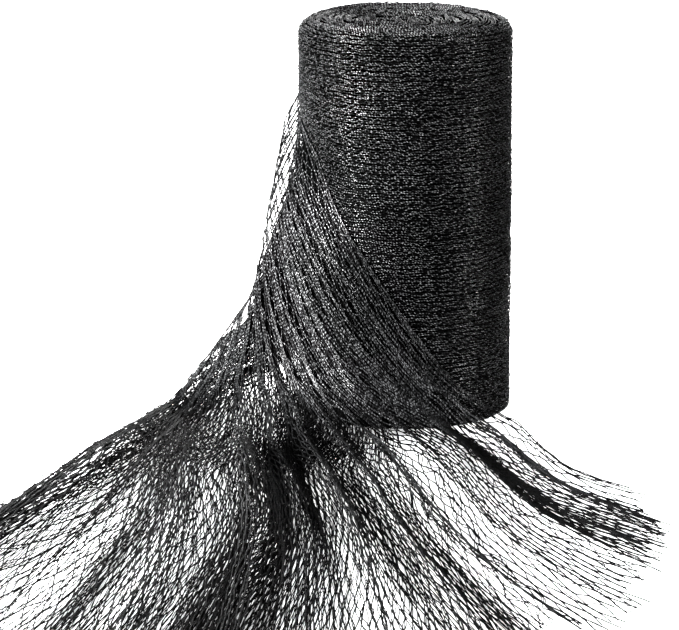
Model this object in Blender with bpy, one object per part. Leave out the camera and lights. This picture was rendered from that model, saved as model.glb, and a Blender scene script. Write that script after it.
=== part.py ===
"""Bird netting roll: a tall upright roll of black knitted netting and its loose end.

The roll stands on its lower end.  Its outer wrap peels away at the back left, hangs off the left
side, is drawn across the front and spreads into a wide fan on the surface that the roll stands on.

Metres, +Z up.  The origin is the middle of the roll's flat lower end, +X is to the right and -Y is
the front, where the fan spreads.  Turns are degrees about the roll's axis, anticlockwise seen from
above, from +X.
"""

import math

import bpy
import numpy as np

# ---------------------------------------------------------------- driving dimensions
ROLL_RADIUS = 0.1362
ROLL_HEIGHT = 0.500
RIM_ROUND = 0.013           # rounding of the wound edge at the top
HEEL_ROUND = 0.007          # rounding of the wound edge at the foot
TOP_DISH = 0.006            # how far the wound top sinks towards the middle
TWIST_PITCH = 0.019         # spacing of the main twists seen on the top
TWIST_RELIEF = 0.0032       # ridge to groove of those twists
TWIST_UNEVEN = 0.25         # share of the relief that comes and goes
TWIST_WANDER = 40.0         # how fast it does so with the reach
TWIST_FADE = 0.12           # share of the reach over which the twists fade in from the rim
EYE_PLACE = (-0.026, 0.030)  # the open eye of the spiral on the top
EYE_RADIUS = 0.020
EYE_DEPTH = 0.012
LUMP_RELIEF = 0.0008        # unevenness of the winding on the side

NET_THICKNESS = 0.0018
ROOT_TURN = 158.0           # where the outer wrap leaves the roll
ROOT_GAP = 0.0006           # the root of the loose end lies on the roll
ROOT_LENGTH = 0.03          # length over which the drape leaves the roll
ROLL_GAP = 0.0028           # elsewhere the drape keeps this far off the roll

AROUND = 52                 # facets around the roll
SIDE_ROWS = 13
RIM_ROWS = 3
TOP_RINGS = 19
FOOT_RINGS = 2

HALF_MESHES = 72            # half meshes across the loose end
MESH_ROWS = 34              # half meshes along it
ROW_GROWTH = 0.42           # rows lie closer than the mean at the root, wider at the far end
HOLE_SHARE = 0.86           # an open mesh's hole, as a share of its diamond
END_RAGGED = 0.018          # unevenness of the cut end, as a share of the length
END_WAVES = (7.3, 3.1)      # the two waves of that unevenness, radians for each rib

# Lumps of the winding: share of the unevenness, waves about the roll, radians for each metre of
# height, and start in radians.
LUMPS = (
    dict(share=0.45, about=2, upward=9.0, start=0.0),
    dict(share=0.35, about=3, upward=-21.0, start=1.1),
    dict(share=0.20, about=5, upward=34.0, start=0.4),
)

# Creases pressed into the winding: height, depth, half height, turn of the deepest place.
CREASES = (
    dict(height=0.338, depth=0.0012, half=0.010, turn=285.0),
    dict(height=0.262, depth=0.0009, half=0.012, turn=20.0),
    dict(height=0.226, depth=0.0016, half=0.014, turn=340.0),
    dict(height=0.120, depth=0.0010, half=0.012, turn=60.0),
)

# The hollow on the left where the outer wraps have been drawn off.
HOLLOW = dict(depth=0.0115, start=160.0, full=182.0, ease=205.0, end=244.0,
              top=0.408, full_top=0.318, full_low=0.180, low=0.020)

# Ribs of the loose end, from its upper selvage (first) to its lower selvage (last).  Each runs
# from the roll to the cut end.  root is a height, land, middle and end are (turn, reach) on the
# floor, and the rest are (turn, reach, height); reach is measured from the roll's axis.
RIBS = (
    dict(root=0.415, hip=(210, 0.140, 0.333), front=(255, 0.140, 0.195), foot=(300, 0.140, 0.048),
         land=(325, 0.157), middle=(301, 0.380), end=(304, 0.525)),
    dict(root=0.406, hip=(189, 0.149, 0.362), front=(238, 0.143, 0.212), foot=(284, 0.143, 0.045),
         land=(297, 0.180), middle=(292, 0.470), end=(296, 0.685)),
    dict(root=0.393, hip=(191, 0.160, 0.325), front=(222, 0.150, 0.200), foot=(263, 0.150, 0.038),
         land=(280, 0.190), middle=(283, 0.600), end=(288, 0.870)),
    dict(root=0.376, hip=(194, 0.170, 0.288), front=(212, 0.160, 0.170), foot=(244, 0.160, 0.036),
         land=(262, 0.215), middle=(276, 0.655), end=(282, 1.010)),
    dict(root=0.352, hip=(195, 0.179, 0.248), front=(206, 0.175, 0.148), foot=(231, 0.180, 0.036),
         land=(252, 0.250), middle=(270, 0.655), end=(275, 1.058)),
    dict(root=0.324, hip=(196, 0.186, 0.211), front=(200, 0.186, 0.128), foot=(221, 0.200, 0.040),
         land=(242, 0.290), middle=(263, 0.665), end=(267, 1.072)),
    dict(root=0.294, hip=(195, 0.190, 0.178), front=(194, 0.194, 0.112), foot=(208, 0.225, 0.044),
         land=(229, 0.310), middle=(254, 0.680), end=(259, 1.095)),
    dict(root=0.260, hip=(189, 0.191, 0.158), front=(187, 0.212, 0.107), foot=(192, 0.240, 0.042),
         land=(207, 0.310), middle=(240, 0.640), end=(249, 1.140)),
    dict(root=0.222, hip=(180, 0.191, 0.145), front=(178, 0.222, 0.100), foot=(178, 0.260, 0.048),
         land=(182, 0.305), middle=(217, 0.540), end=(233, 1.020)),
)
LAST_RIB = len(RIBS) - 1

# Main folds of the loose end: the rib they follow, their rise where the net hangs and where it
# lies, and their half width in ribs.
FOLDS = (
    dict(rib=0.4, hanging=0.003, lying=0.007, half=0.22),
    dict(rib=1.0, hanging=0.005, lying=0.021, half=0.28),
    dict(rib=1.7, hanging=0.004, lying=0.007, half=0.24),
    dict(rib=2.5, hanging=0.005, lying=0.009, half=0.30),
    dict(rib=3.4, hanging=0.009, lying=0.027, half=0.30),
    dict(rib=4.1, hanging=0.008, lying=0.017, half=0.26),
    dict(rib=4.8, hanging=0.010, lying=0.023, half=0.28),
    dict(rib=5.4, hanging=0.008, lying=0.015, half=0.26),
    dict(rib=6.0, hanging=0.011, lying=0.034, half=0.34),
    dict(rib=6.7, hanging=0.008, lying=0.019, half=0.28),
    dict(rib=7.2, hanging=0.006, lying=0.010, half=0.20),
    dict(rib=7.7, hanging=0.008, lying=0.026, half=0.26),
)
FOLDS_START = 0.30           # share of the length over which the folds grow from the root
FOLDS_SETTLE = (0.42, 0.60)  # stretch of the length in which the hanging folds become lying ones
FOLDS_FADE = 0.70            # from here to the cut end the folds flatten
FOLDS_FLATTEN = 0.55         # share of their rise that they lose there
UPWARD_BELOW = 0.08          # net higher than this is lifted straight off the roll, lower net upwards

# Where one or two layers lie open enough for their meshes to be cut through: ranges of ribs and
# of the length.
OPEN_ZONES = (
    dict(ribs=(0.05, 0.75), length=(0.56, 0.97)),
    dict(ribs=(1.35, 3.05), length=(0.50, 0.97)),
    dict(ribs=(3.75, 3.85), length=(0.72, 0.97)),
    dict(ribs=(4.35, 4.55), length=(0.66, 0.97)),
    dict(ribs=(5.05, 5.15), length=(0.66, 0.97)),
    dict(ribs=(6.95, 7.45), length=(0.62, 0.97)),
    dict(ribs=(3.75, 5.65), length=(0.06, 0.17)),
)
MOST_HOLES = 300

NET_BLACK = (0.020, 0.021, 0.022, 1.0)
WOUND_BLACK = (0.026, 0.026, 0.028, 1.0)


# ---------------------------------------------------------------- small helpers
def ease(x):
    """A smooth step from 0 to 1."""
    x = np.clip(x, 0.0, 1.0)
    return x * x * (3.0 - 2.0 * x)


def turn_between(turn, other):
    """Signed degrees from one turn to another, -180 to 180."""
    return (turn - other + 180.0) % 360.0 - 180.0


def material(name, colour, roughness):
    """A plain Principled material."""
    finish = bpy.data.materials.new(name)
    finish.use_nodes = True
    shader = finish.node_tree.nodes["Principled BSDF"]
    shader.inputs["Base Color"].default_value = colour
    shader.inputs["Roughness"].default_value = roughness
    shader.inputs["Metallic"].default_value = 0.0
    return finish


def mesh_object(name, points, faces, finish):
    """A new object from points and faces, shaded smooth."""
    mesh = bpy.data.meshes.new(name)
    mesh.from_pydata([tuple(map(float, point)) for point in points], [], faces)
    mesh.materials.append(finish)
    mesh.shade_smooth()
    mesh.update()
    thing = bpy.data.objects.new(name, mesh)
    bpy.context.scene.collection.objects.link(thing)
    return thing


# ---------------------------------------------------------------- the wound roll
def roll_radius(turn, height):
    """Radius of the wound side at a turn (degrees, 0 to 360) and a height."""
    angle = np.radians(turn)
    lumps = sum(lump["share"] * np.sin(lump["about"] * angle + lump["upward"] * height + lump["start"])
                for lump in LUMPS)
    radius = ROLL_RADIUS - LUMP_RELIEF * (1.0 - lumps)
    for crease in CREASES:
        along = np.clip(1.0 - np.abs(height - crease["height"]) / crease["half"], 0.0, 1.0)
        about = 0.5 + 0.5 * np.cos(np.radians(turn_between(turn, crease["turn"])))
        radius = radius - crease["depth"] * ease(along) * about
    about = (ease((turn - HOLLOW["start"]) / (HOLLOW["full"] - HOLLOW["start"]))
             * ease((HOLLOW["end"] - turn) / (HOLLOW["end"] - HOLLOW["ease"])))
    upright = (ease((HOLLOW["top"] - height) / (HOLLOW["top"] - HOLLOW["full_top"]))
               * ease((height - HOLLOW["low"]) / (HOLLOW["full_low"] - HOLLOW["low"])))
    return radius - HOLLOW["depth"] * about * upright


def top_height(turn, reach):
    """Height of the wound top: a shallow dish with spiral twists and an open eye."""
    x = reach * np.cos(np.radians(turn))
    y = reach * np.sin(np.radians(turn))
    inner = np.clip(1.0 - reach / (ROLL_RADIUS - RIM_ROUND), 0.0, 1.0)
    wave = 0.5 + 0.5 * np.cos(2.0 * math.pi * (reach / TWIST_PITCH - turn / 360.0))
    near_rim = ease(inner / TWIST_FADE)
    uneven = 1.0 - TWIST_UNEVEN * (1.0 - np.sin(np.radians(2.0 * turn) + TWIST_WANDER * reach))
    from_eye = np.hypot(x - EYE_PLACE[0], y - EYE_PLACE[1]) / EYE_RADIUS
    eye = EYE_DEPTH * ease(1.0 - from_eye)
    dish = TOP_DISH * ease(inner)
    return ROLL_HEIGHT - dish - eye - TWIST_RELIEF * wave * near_rim * uneven


def wound_roll():
    """The roll as one solid: flat foot, uneven wound side, rounded rim and spiral top."""
    turns = np.arange(AROUND) * 360.0 / AROUND
    rows = []

    def side_row(height, inset):
        reach = roll_radius(turns, height) - inset
        rows.append((reach, np.full(AROUND, height)))

    for ring in range(1, FOOT_RINGS + 1):
        reach = (roll_radius(turns, 0.0) - HEEL_ROUND) * ring / FOOT_RINGS
        rows.append((reach, np.zeros(AROUND)))
    for step in (1, 2):
        lean = math.radians(45.0 * step)
        side_row(HEEL_ROUND * (1.0 - math.cos(lean)), HEEL_ROUND * (1.0 - math.sin(lean)))
    for step in range(1, SIDE_ROWS + 1):
        side_row(HEEL_ROUND + (ROLL_HEIGHT - RIM_ROUND - HEEL_ROUND) * step / SIDE_ROWS, 0.0)
    for step in range(1, RIM_ROWS + 1):
        lean = math.radians(90.0 * step / RIM_ROWS)
        side_row(ROLL_HEIGHT - RIM_ROUND * (1.0 - math.sin(lean)), RIM_ROUND * (1.0 - math.cos(lean)))
    rim_reach = rows[-1][0]
    for ring in range(TOP_RINGS - 1, 0, -1):
        reach = rim_reach * ring / TOP_RINGS
        rows.append((reach, top_height(turns, reach)))

    points = [(0.0, 0.0, 0.0)]
    for reach, height in rows:
        points.extend(zip(reach * np.cos(np.radians(turns)), reach * np.sin(np.radians(turns)), height))
    points.append((0.0, 0.0, float(top_height(0.0, 0.0))))

    faces = []
    for k in range(AROUND):
        following = (k + 1) % AROUND
        faces.append((0, 1 + following, 1 + k))
        for row in range(len(rows) - 1):
            low = 1 + row * AROUND
            high = low + AROUND
            faces.append((low + k, low + following, high + following, high + k))
        last = 1 + (len(rows) - 1) * AROUND
        faces.append((last + k, last + following, len(points) - 1))
    return mesh_object("wound_roll", points, faces, material("wound_netting", WOUND_BLACK, 0.62))


# ---------------------------------------------------------------- the loose end
def place(turn, reach, height=0.0):
    """A point from its turn, its reach from the roll's axis and its height."""
    angle = math.radians(turn)
    return (reach * math.cos(angle), reach * math.sin(angle), height)


def rib_stations():
    """The ribs' stations as an array of ribs by stations by coordinates."""
    table = []
    for rib in RIBS:
        root_reach = float(roll_radius(ROOT_TURN, rib["root"])) + ROOT_GAP
        table.append([place(ROOT_TURN, root_reach, rib["root"])]
                     + [place(*rib[name]) for name in ("hip", "front", "foot", "land", "middle", "end")])
    return np.array(table)


def between_ribs(stations, rib):
    """The stations of a line at a fractional rib, on smooth curves through the ribs."""
    low = min(int(rib), LAST_RIB - 1)
    share = rib - low
    here, following = stations[low], stations[low + 1]
    before = stations[low - 1] if low > 0 else 2.0 * here - following
    after = stations[low + 2] if low + 2 <= LAST_RIB else 2.0 * following - here
    return 0.5 * (2.0 * here + (following - before) * share
                  + (2.0 * before - 5.0 * here + 4.0 * following - after) * share ** 2
                  + (3.0 * here - 3.0 * following + after - before) * share ** 3)


def smooth_line(stations, steps=16):
    """A smooth line through stations that lie unevenly far apart."""
    gaps = np.linalg.norm(np.diff(stations, axis=0), axis=1)
    slopes = np.diff(stations, axis=0) / gaps[:, None]
    headings = np.empty_like(stations)
    headings[1:-1] = (stations[2:] - stations[:-2]) / (gaps[1:] + gaps[:-1])[:, None]
    headings[0] = 1.5 * slopes[0] - 0.5 * headings[1]
    headings[-1] = 1.5 * slopes[-1] - 0.5 * headings[-2]
    share = np.linspace(0.0, 1.0, steps, endpoint=False)[:, None]
    pieces = []
    for k, gap in enumerate(gaps):
        pieces.append((2.0 * share ** 3 - 3.0 * share ** 2 + 1.0) * stations[k]
                      + (share ** 3 - 2.0 * share ** 2 + share) * gap * headings[k]
                      + (3.0 * share ** 2 - 2.0 * share ** 3) * stations[k + 1]
                      + (share ** 3 - share ** 2) * gap * headings[k + 1])
    return np.concatenate(pieces + [stations[-1:]])


def run_length(line):
    """Length along a line, from its start to each of its points."""
    return np.concatenate([[0.0], np.cumsum(np.linalg.norm(np.diff(line, axis=0), axis=1))])


def settled(line):
    """The line moved clear of the roll and up onto the floor."""
    reach = np.hypot(line[:, 0], line[:, 1])
    turn = np.degrees(np.arctan2(line[:, 1], line[:, 0])) % 360.0
    gap = ROOT_GAP + (ROLL_GAP - ROOT_GAP) * ease(run_length(line) / ROOT_LENGTH)
    least = roll_radius(turn, np.clip(line[:, 2], 0.0, ROLL_HEIGHT)) + gap
    out = np.maximum(reach, least) / reach
    return np.column_stack([line[:, 0] * out, line[:, 1] * out, np.maximum(line[:, 2], 0.0)])


def fold_rise(rib, along):
    """How far the folds lift the net, at a rib and at shares of the length."""
    start, end = FOLDS_SETTLE
    lying = ease((along - start) / (end - start))
    fade_in = ease(along / FOLDS_START)
    fade_out = 1.0 - FOLDS_FLATTEN * ease((along - FOLDS_FADE) / (1.0 - FOLDS_FADE))
    rise = np.zeros_like(along)
    for fold in FOLDS:
        share = ease(1.0 - abs(rib - fold["rib"]) / fold["half"])
        rise += share * (fold["hanging"] + (fold["lying"] - fold["hanging"]) * lying)
    return rise * fade_in * fade_out


def net_line(stations, rib, along):
    """Points of the loose end at one rib and at shares of its length."""
    line = settled(smooth_line(between_ribs(stations, rib)))
    length = run_length(line)
    waves = math.sin(END_WAVES[0] * rib) * math.cos(END_WAVES[1] * rib)
    ragged = 1.0 - END_RAGGED * (0.5 + 0.5 * waves)
    wanted = length[-1] * ragged * ((1.0 - ROW_GROWTH) * along + ROW_GROWTH * along ** 2)
    points = np.column_stack([np.interp(wanted, length, line[:, axis]) for axis in range(3)])
    outward = points[:, :2] / np.hypot(points[:, 0], points[:, 1])[:, None]
    upright = ease(points[:, 2] / UPWARD_BELOW)[:, None]
    lift = np.column_stack([outward * upright, 1.0 - upright])
    lift /= np.linalg.norm(lift, axis=1)[:, None]
    return points + lift * fold_rise(rib, along)[:, None]


def is_open(rib, along):
    """True where the mesh at this place is cut through."""
    return any(zone["ribs"][0] <= rib <= zone["ribs"][1] and zone["length"][0] <= along <= zone["length"][1]
               for zone in OPEN_ZONES)


def loose_net():
    """The loose end as one sheet of diamond meshes, its widest ones cut through."""
    stations = rib_stations()

    def spot(column, row):
        along = np.array([row / MESH_ROWS])
        return net_line(stations, column * LAST_RIB / HALF_MESHES, along)[0]

    points = []
    knots = {}
    for column in range(HALF_MESHES + 1):
        rows = range(column % 2, MESH_ROWS + 1, 2)
        line = net_line(stations, column * LAST_RIB / HALF_MESHES, np.array(rows) / MESH_ROWS)
        for row, point in zip(rows, line):
            knots[column, row] = len(points)
            points.append(point)

    faces = []
    holes = 0
    for column in range(HALF_MESHES + 1):
        for row in range(MESH_ROWS + 1):
            if (column + row) % 2 == 0:
                continue
            left = knots.get((column - 1, row))
            right = knots.get((column + 1, row))
            near = knots.get((column, row - 1))
            far = knots.get((column, row + 1))
            corners = [left, near, right, far]
            if None in corners:
                faces.append([corner for corner in corners if corner is not None])
                continue
            centre = (column * LAST_RIB / HALF_MESHES, row / MESH_ROWS)
            if not is_open(*centre):
                faces.append([left, near, far])
                faces.append([near, right, far])
                continue
            holes += 1
            first = len(points)
            for dc, dr in ((-1, 0), (0, -1), (1, 0), (0, 1)):
                points.append(spot(column + dc * HOLE_SHARE, row + dr * HOLE_SHARE))
            for k in range(4):
                after = (k + 1) % 4
                faces.append([corners[k], corners[after], first + after, first + k])
    if holes > MOST_HOLES:
        raise ValueError(f"{holes} meshes are cut through, more than {MOST_HOLES}")

    net = mesh_object("loose_net", points, faces, material("loose_netting", NET_BLACK, 0.55))
    wall = net.modifiers.new("wall", "SOLIDIFY")
    wall.thickness = NET_THICKNESS
    wall.offset = 1.0
    return net


def main():
    for thing in list(bpy.data.objects):
        bpy.data.objects.remove(thing, do_unlink=True)
    wound_roll()
    loose_net()


main()
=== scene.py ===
"""Looks of the bird netting roll: black knitted netting, wound up tight and with its end let down.

Every strand of the netting is a thin tube.  The strands run along the net's length; each one swings
to and fro between its two neighbours and is knitted to them in turn, which leaves the diamond meshes.
On the roll the strands are rings drawn nearly straight, over a close winding.  On the loose end they
follow the same folds as the construction solid, in several layers.

Metres, +Z up.  Turns are degrees about the roll's axis, anticlockwise seen from above, from +X.
"""

import math

import bpy
import numpy as np
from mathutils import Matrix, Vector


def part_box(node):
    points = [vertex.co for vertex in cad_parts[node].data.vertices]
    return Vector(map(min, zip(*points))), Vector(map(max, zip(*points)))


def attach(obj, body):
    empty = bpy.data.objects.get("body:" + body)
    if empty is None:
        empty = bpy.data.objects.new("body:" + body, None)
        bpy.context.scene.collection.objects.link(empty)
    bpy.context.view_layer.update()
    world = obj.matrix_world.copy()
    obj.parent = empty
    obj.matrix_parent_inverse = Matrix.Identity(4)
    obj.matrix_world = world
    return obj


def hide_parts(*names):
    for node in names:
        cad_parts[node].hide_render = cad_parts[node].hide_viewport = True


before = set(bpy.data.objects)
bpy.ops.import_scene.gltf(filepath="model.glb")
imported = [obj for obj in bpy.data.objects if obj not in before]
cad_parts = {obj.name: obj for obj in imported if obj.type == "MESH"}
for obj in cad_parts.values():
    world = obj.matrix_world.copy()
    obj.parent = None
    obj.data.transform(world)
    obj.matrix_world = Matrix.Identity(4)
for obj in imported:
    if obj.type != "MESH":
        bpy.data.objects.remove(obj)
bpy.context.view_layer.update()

FULL_TURN = 2.0 * math.pi
UP = np.array([0.0, 0.0, 1.0])


def table(columns, *rows):
    """Rows of values as dicts, by the names of their columns."""
    return [dict(zip(columns.split(), row)) for row in rows]


# ---------------------------------------------------------------- the wound roll's form
ROLL_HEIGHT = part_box("wound_roll")[1][2]
ROLL_RADIUS = 0.1362
RIM_ROUND = 0.018           # rounding of the wound edge at the top
HEEL_ROUND = 0.007          # rounding of the wound edge at the foot
TOP_DISH = 0.006            # how far the wound top sinks towards the middle
TWIST_PITCH = 0.019         # spacing of the main twists seen on the top
TWIST_RELIEF = 0.0020       # ridge to groove of those twists
TWIST_UNEVEN = 0.25         # share of the relief that comes and goes
TWIST_WANDER = 40.0         # how fast it does so with the reach
TWIST_FADE = 0.12           # share of the reach over which the twists fade in from the rim
EYE_PLACE = (-0.031, 0.028)  # the open eye of the spiral on the top
EYE_RADIUS = 0.020          # radius and depth of the funnel around it
EYE_DEPTH = 0.012
LUMP_RELIEF = 0.0008        # unevenness of the winding on the side

# Lumps of the winding: share of the unevenness, waves about the roll, radians for each metre of
# height, and start in radians.
LUMPS = table(
    "share about upward start",
    (0.45, 2, 9.0, 0.0),
    (0.35, 3, -21.0, 1.1),
    (0.20, 5, 34.0, 0.4),
)

# Creases pressed into the winding: height, depth, half height, turn of the deepest place.
CREASES = table(
    "height depth half turn",
    (0.338, 0.0012, 0.010, 285.0),
    (0.262, 0.0009, 0.012, 20.0),
    (0.226, 0.0016, 0.014, 340.0),
    (0.120, 0.0010, 0.012, 60.0),
)

# The hollow on the left where the outer wraps have been drawn off: its depth, the turns where it
# starts, is full, eases out and ends, and the heights where it ends and is full, from the top down.
HOLLOW = dict(depth=0.0115, start=160.0, full=182.0, ease=205.0, end=244.0,
              top=0.408, full_top=0.318, full_low=0.180, low=0.020)

# ---------------------------------------------------------------- the wound strands
WOUND_STRETCH = 1.0060       # the yarn stands a little proud of the solid's top
WRAP_ROW = 0.0031            # spacing of the strands up the side
WRAP_SWING = 0.22            # how far a strand swings to its neighbour, in rows
WRAP_STRAY = 0.14            # how far a bend strays up or down, in rows
BEND_STRAY = 0.30            # and how far along its ring, in bends
ROW_STRAY = 0.08             # how far a whole row strays, in rows
WRAP_PAIRED = 0.09           # how far two rows lie towards each other, in rows
PAIR_DEEPER = 0.0004         # and how much deeper the second of them lies
BEND_DEPTH = 0.00035         # how far a bend strays in or out
WRAP_ENDS = (0.0008, 0.0004)  # how far the rings keep from the flat foot and the flat top
WRAP_UNEVEN = (0.85, 1.15)   # thinnest and thickest ring, as shares of the yarn
WRAP_CLEAR = 1.2             # radii that a ring keeps above the floor
# How the rows wander together: number of waves, most of them about the roll, radians for each metre
# of height, and how far.  The rows drift and curl up and down, and swell in and out.
ROW_DRIFT = dict(count=10, about=7, upward=60.0, far=0.0013)
ROW_SWELL = dict(count=7, about=12, upward=45.0, far=0.0004)
ROW_CURL = dict(count=9, about=52, upward=160.0, far=0.0007)
# Where the drawn-off wraps pull the rows up: the turn, the degrees to each side, how far, and the
# length over which that fades towards the foot and the top.
PULL = dict(turn=184.0, half=56.0, rise=0.018, fade=0.16)
# Layers of rings: bends of a strand on its way around, where it turns to its other neighbour, how
# deep the layer lies under the solid's surface, its strands' radius, and whether it is a deeper one in
# painted shade.
WRAPS = table(
    "name knots depth yarn seed deep",
    ("wound_wraps_1", 172, -0.0002, 0.00071, 31, False),
    ("wound_wraps_2", 120, 0.0011, 0.00066, 32, True),
    ("wound_wraps_3", 90, 0.0024, 0.00066, 33, True),
)
# The close winding under them: its depth, points around and up the side, rings over the foot and
# over the top, and the height of its foot.
CORE = dict(depth=0.0042, around=120, side=60, foot=7, top=22, low=0.0016)

TOP_SEED, FOOT_SEED = 23, 24
END_YARN = 0.00080           # radius of a strand on the wound ends
END_STEP = 0.0060            # length of a piece of strand there
STEP_UNEVEN = (0.75, 1.25)   # shortest and longest piece, as shares of that
# How a strand of a spiral strays from it: in long waves, to and fro at each piece, and at random.
SPIRAL = dict(wander=0.0009, bob=0.0003, stray=0.0002)
TOP_PITCH = 0.0094           # spacing of the turns of the spiral on the top
TOP_START = 0.0045           # how far outside the flat top it starts
# The strands of one turn on the top: how far out of its middle and how far under its crest they lie.
TOP_TURN = table(
    "out under",
    (-0.0032, 0.0027), (-0.0013, 0.0008), (0.0004, 0.0), (0.0021, 0.0012), (0.0044, 0.0031),
)
# How far the turns rise and sink: in long waves, at each piece, and at random.
TOP_UNEVEN = dict(wander=0.0024, bob=0.0002, stray=0.00015)
EYE_OPEN = 0.013             # radius at which the spiral stops around the eye
# The spiral under the roll: spacing of its turns, how far inside the flat foot it starts, its open
# middle, and its strand's height and how far that bobs.
FOOT = dict(pitch=0.0042, inset=0.0006, open=0.006, height=0.0010, bob=0.0006)
# The net's inner end, curled up beside the eye: its place, the largest loop's radius, the loops and
# the first one's share of a step, the degrees that they are tipped towards the front, how much wider
# than high they are, their middle's height in radii, degrees between points, and how far these stray.
CURL = dict(place=(-0.057, -0.004), radius=0.010, loops=5, first=0.8, tilt=48.0, wide=1.25,
            raised=0.55, step=24.0, stray=0.0004)
# Loops of strand that stand off the rim: how many, points in each, half length in degrees, rise and
# the lowest loop's share of it, the share of the rim's rounding that they stand on, how deep their
# ends lie, and their share of the yarn.
RIM_LOOPS = dict(count=26, points=7, half=(3.0, 9.0), rise=0.0050, lowest=0.4, down=0.7,
                 sunk=0.0005, yarn=0.9)

# ---------------------------------------------------------------- the loose end's form
ROOT_TURN = 158.0           # where the outer wrap leaves the roll
ROOT_GAP = 0.0006           # the root of the loose end lies that far off the roll
ROOT_LENGTH = 0.03          # length over which the drape leaves the roll
ROLL_GAP = 0.0028           # elsewhere the drape keeps this far off the roll
ROW_GROWTH = 0.42           # rows lie closer than the mean at the root, wider at the far end
END_RAGGED = 0.018          # unevenness of the cut end, as a share of the length
END_WAVES = (7.3, 3.1)      # the two waves of that unevenness, radians for each rib
LINE_STEPS = 16             # points from one station of a rib to the next
ROW_STEPS = 400             # steps in which the rows are counted along the length

# Ribs of the loose end, from its upper selvage (first) to its lower selvage (last).  Each runs
# from the roll to the cut end.  root is a height, land, middle and end are (turn, reach) on the
# floor, and the rest are (turn, reach, height); reach is measured from the roll's axis.
RIBS = table(
    "root hip front foot land middle end",
    (0.415, (210, 0.140, 0.333), (255, 0.140, 0.195), (300, 0.140, 0.048),
     (325, 0.157), (301, 0.380), (304, 0.525)),
    (0.406, (189, 0.149, 0.362), (238, 0.143, 0.212), (284, 0.143, 0.045),
     (297, 0.180), (292, 0.470), (296, 0.685)),
    (0.393, (191, 0.160, 0.325), (222, 0.150, 0.200), (263, 0.150, 0.038),
     (280, 0.190), (283, 0.600), (288, 0.870)),
    (0.376, (194, 0.170, 0.288), (212, 0.160, 0.170), (244, 0.160, 0.036),
     (262, 0.215), (276, 0.655), (282, 1.010)),
    (0.352, (195, 0.179, 0.248), (206, 0.175, 0.148), (231, 0.180, 0.036),
     (252, 0.250), (270, 0.655), (275, 1.058)),
    (0.324, (196, 0.186, 0.211), (200, 0.186, 0.128), (221, 0.200, 0.040),
     (242, 0.290), (263, 0.665), (267, 1.072)),
    (0.294, (195, 0.190, 0.178), (194, 0.194, 0.112), (208, 0.225, 0.044),
     (229, 0.310), (254, 0.680), (259, 1.095)),
    (0.260, (189, 0.191, 0.158), (187, 0.212, 0.107), (192, 0.240, 0.042),
     (207, 0.310), (240, 0.640), (249, 1.140)),
    (0.222, (180, 0.191, 0.145), (178, 0.222, 0.100), (178, 0.260, 0.048),
     (182, 0.305), (217, 0.540), (233, 1.020)),
)
LAST_RIB = len(RIBS) - 1

# Main folds of the loose end: the rib they follow, their rise where the net hangs and where it
# lies, and their half width in ribs.
FOLDS = table(
    "rib hanging lying half",
    (0.4, 0.003, 0.007, 0.22), (1.0, 0.005, 0.021, 0.28), (1.7, 0.004, 0.007, 0.24),
    (2.5, 0.005, 0.009, 0.30), (3.4, 0.009, 0.027, 0.30), (4.1, 0.008, 0.017, 0.26),
    (4.8, 0.010, 0.023, 0.28), (5.4, 0.008, 0.015, 0.26), (6.0, 0.011, 0.034, 0.34),
    (6.7, 0.008, 0.019, 0.28), (7.2, 0.006, 0.010, 0.20), (7.7, 0.008, 0.026, 0.26),
)
FOLDS_START = 0.30           # share of the length over which the folds grow from the root
FOLDS_SETTLE = (0.42, 0.60)  # stretch of the length in which the hanging folds become lying ones
FOLDS_FADE = 0.70            # from here to the cut end the folds flatten
FOLDS_FLATTEN = 0.55         # share of their rise that they lose there
UPWARD_BELOW = 0.08          # net higher than this is lifted straight off the roll, lower net upwards

# ---------------------------------------------------------------- the loose strands
LOOSE_YARN = 0.00080        # radius of a strand of the loose end, in its outermost layer
INNER_YARN = 0.00058        # and in the inner ones
SLACK_YARN = 1.16           # the yarn is that much fuller where the net lies slack on the floor
NET_UNEVEN = (0.84, 1.10)   # thinnest and thickest strand, as shares of that
NET_CLEAR = 1.12            # radii that a strand keeps above the floor
KNOT_LENGTH = 0.0024        # length over which two strands lie joined
KNOT_ASIDE = 0.9            # radii that a strand passes its knot to the side
KNOT_STRAY = (0.15, 0.12)   # how far a knot strays, in strands across and in rows along

# Half length of a mesh along the loose end: it hangs gathered and close, and lies drawn out.  And how
# far a strand goes over to its neighbour, in the outermost layer and in the inner ones.
MESH_LENGTHS = table(
    "along half outer inner",
    (0.00, 0.0120, 0.60, 0.50), (0.34, 0.0150, 0.60, 0.45), (0.50, 0.0320, 0.90, 0.45),
    (0.64, 0.0460, 1.00, 0.45), (1.00, 0.0590, 1.00, 0.45),
)
LONG_MESH = 0.019           # meshes with a half length over this are curved between their knots
CURVED = ((1.0 / 3.0, 0.29), (2.0 / 3.0, 0.71))  # the curve's points: shares of the way on and across

# On which rib the strands hang, by their share across the layer.
HANGING = table(
    "share rib",
    (0.00, 0.0), (0.06, 1.0), (0.15, 2.0), (0.80, 7.0), (1.00, 8.0),
)

# How thickly the strands lie on the floor: strands to a rib between the bunches, of the outermost
# layer and of the inner ones together.
FAN_LEVELS = table(
    "rib outer inner",
    (0.0, 11.0, 0.0), (0.8, 11.0, 0.0), (1.4, 13.0, 2.0), (1.7, 17.0, 5.0),
    (3.2, 19.0, 7.0), (3.6, 26.0, 18.0), (4.5, 25.0, 38.0), (4.9, 26.0, 57.0),
    (5.4, 26.0, 68.0), (5.7, 28.0, 104.0), (5.80, 29.0, 150.0), (6.1, 29.0, 185.0),
    (6.30, 29.0, 150.0), (6.5, 28.0, 128.0), (6.9, 28.0, 130.0), (7.2, 26.0, 94.0),
    (7.6, 16.0, 47.0), (8.0, 11.0, 23.0),
)
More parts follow.
